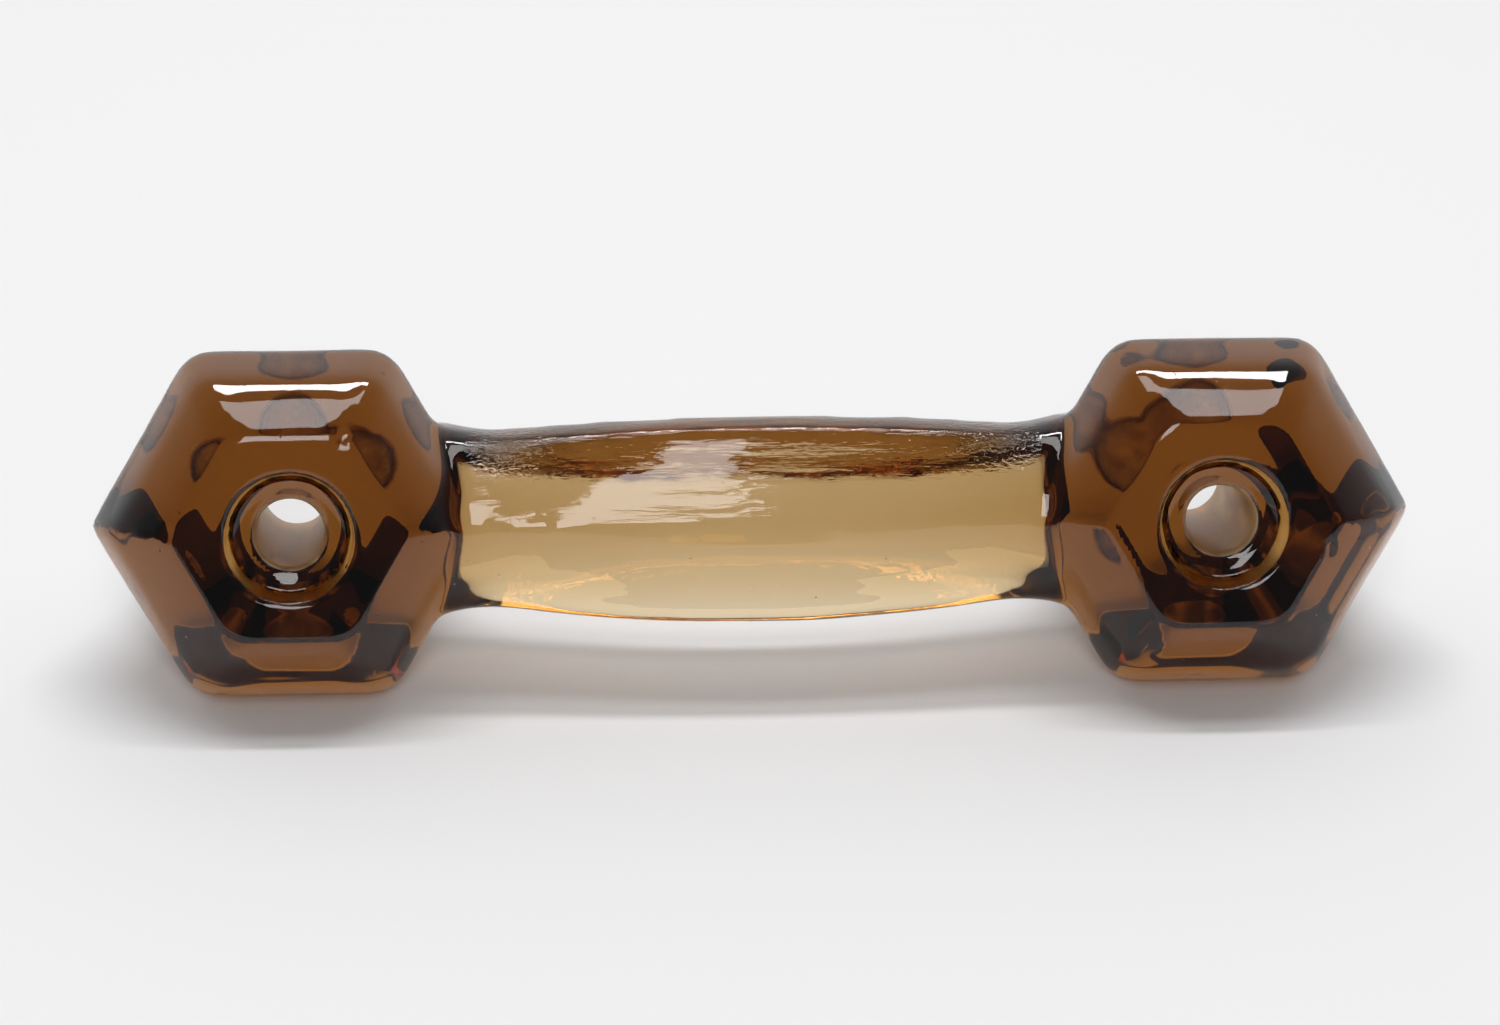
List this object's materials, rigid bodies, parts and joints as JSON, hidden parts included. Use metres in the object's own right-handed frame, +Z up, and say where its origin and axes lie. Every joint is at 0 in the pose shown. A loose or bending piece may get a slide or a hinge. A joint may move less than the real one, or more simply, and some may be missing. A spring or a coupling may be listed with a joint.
{
  "type": "glass drawer pull",
  "caption": "Pressed amber glass bridge pull for a drawer: a faceted grip bar between hexagonal posts, each bored through for a bolt.",
  "frame": {"origin": "on the plane of the drawer front, midway between the two bolt holes", "axes": "+X along the grip bar, -Y out of the drawer front towards the user, +Z up"},
  "size_m": [0.11, 0.0254, 0.0292],
  "materials": {
    "amber_glass": "polished"
  },
  "bodies": {
    "root": {"left_post": "amber_glass", "grip_bar": "amber_glass", "right_post": "amber_glass"}
  },
  "joints": []
}
